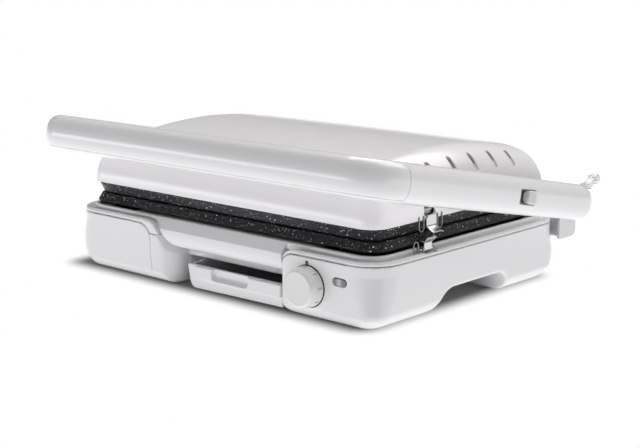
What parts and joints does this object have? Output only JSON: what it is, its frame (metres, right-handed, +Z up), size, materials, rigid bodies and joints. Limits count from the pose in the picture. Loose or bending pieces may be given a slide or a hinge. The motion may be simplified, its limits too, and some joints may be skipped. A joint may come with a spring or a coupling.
{
  "type": "sandwich toaster",
  "caption": "Wide countertop sandwich toaster with a hinged domed lid, U-shaped handle, speckled plates, front knob and sliding drip tray.",
  "frame": {"origin": "centre of the bounding box in plan, on the surface that the rubber feet stand on", "axes": "+X to the right as seen from the front, +Y to the back, +Z up"},
  "size_m": [0.419, 0.3186, 0.1435],
  "materials": {
    "white_casing": "glossy white moulding",
    "handle_white": "glossy white moulding, slightly satin grip",
    "plate_coating": "cast aluminium with a black speckled non-stick coating",
    "heater_sheath": "dull grey-green sheathed element",
    "sheet_steel": "plain aluminised sheet",
    "bright_steel": "zinc plated steel",
    "clip_chrome": "bright chrome plated spring steel",
    "rubber": "soft black rubber",
    "grey_plastic": "pale grey moulding",
    "dark_plastic": "black heat-resistant moulding",
    "clear_plastic": "pale, slightly clear moulding",
    "lamp_lens": "smoked lens",
    "lamp_glow": "small neon lamps",
    "ceramic": "glazed terminal block"
  },
  "bodies": {
    "base": {"base_shell": "white_casing", "base_cover": "white_casing", "rubber_feet": "rubber", "lower_plate": "plate_coating", "lower_heater": "heater_sheath", "lower_reflector": "sheet_steel", "drain_chute": "sheet_steel", "tray_rails": "sheet_steel", "thermostat": "sheet_steel", "lamp_window": "lamp_lens", "indicator_lamps": "lamp_glow", "terminal_block": "ceramic", "thermal_fuse": "bright_steel", "cord_gland": "grey_plastic", "hinge_bracket_right": "bright_steel", "hinge_bracket_left": "bright_steel", "hinge_pins": "bright_steel", "bracket_screws": "bright_steel", "base_screws": "bright_steel", "cord_hooks": "clear_plastic", "lower_clip_pins": "bright_steel", "lower_clip_springs": "bright_steel"},
    "handle": {"handle_bar": "handle_white", "arm_right": "handle_white", "arm_left": "handle_white", "arm_cover_right": "handle_white", "arm_cover_left": "handle_white", "arm_straps": "sheet_steel", "pivot_bolts": "bright_steel", "arm_screws": "bright_steel", "stop_lugs": "clear_plastic", "lock_plate": "sheet_steel"},
    "lid": {"lid_cover": "white_casing", "lid_frame": "dark_plastic", "upper_plate": "plate_coating", "upper_heater": "heater_sheath", "upper_reflector": "sheet_steel", "lid_screws": "bright_steel", "upper_clip_pins": "bright_steel", "upper_clip_springs": "bright_steel"},
    "knob": {"thermostat_knob": "white_casing", "knob_shaft": "bright_steel"},
    "tray": {"drip_tray": "white_casing"},
    "lock": {"lock_slider": "grey_plastic"},
    "lower_clip_right": {"lower_clip_right": "clip_chrome"},
    "lower_clip_left": {"lower_clip_left": "clip_chrome"},
    "upper_clip_right": {"upper_clip_right": "clip_chrome"},
    "upper_clip_left": {"upper_clip_left": "clip_chrome"}
  },
  "joints": [
    {"name": "lid_lift", "type": "hinge", "parent": "base", "child": "handle", "pos_m": [0, 0.134, 0.07], "axis": [-1, 0, 0], "range_deg": [0, 100]},
    {"name": "lid_float", "type": "hinge", "parent": "handle", "child": "lid", "pos_m": [0, -0.01005, 0.09931], "axis": [-1, 0, 0], "range_deg": [0, 5]},
    {"name": "knob_turn", "type": "hinge", "parent": "base", "child": "knob", "pos_m": [0.1137, -0.14, 0.0293], "axis": [0, -1, 0], "range_deg": [0, 225]},
    {"name": "tray_slide", "type": "slide", "parent": "base", "child": "tray", "axis": [0, -1, 0], "range_m": [0, 0.15]},
    {"name": "lock_slide", "type": "slide", "parent": "handle", "child": "lock", "axis": [0, -0.9799, 0.1994], "range_m": [0, 0.008]},
    {"name": "lower_clip_right_swing", "type": "hinge", "parent": "base", "child": "lower_clip_right", "pos_m": [0.1788, -0.0615, 0.0582], "axis": [0, 1, 0], "range_deg": [0, 18], "stiffness_Nm_per_rad": 0.02},
    {"name": "lower_clip_left_swing", "type": "hinge", "parent": "base", "child": "lower_clip_left", "pos_m": [-0.1788, -0.0615, 0.0582], "axis": [0, -1, 0], "range_deg": [0, 18], "stiffness_Nm_per_rad": 0.02},
    {"name": "upper_clip_right_swing", "type": "hinge", "parent": "lid", "child": "upper_clip_right", "pos_m": [0.169, -0.051, 0.0875], "axis": [0, -1, 0], "range_deg": [0, 18], "stiffness_Nm_per_rad": 0.02},
    {"name": "upper_clip_left_swing", "type": "hinge", "parent": "lid", "child": "upper_clip_left", "pos_m": [-0.169, -0.051, 0.0875], "axis": [0, 1, 0], "range_deg": [0, 18], "stiffness_Nm_per_rad": 0.02}
  ],
  "couplings": [
    {"joint": "lid_float", "follows": "lid_lift", "ratio": 0.05}
  ]
}
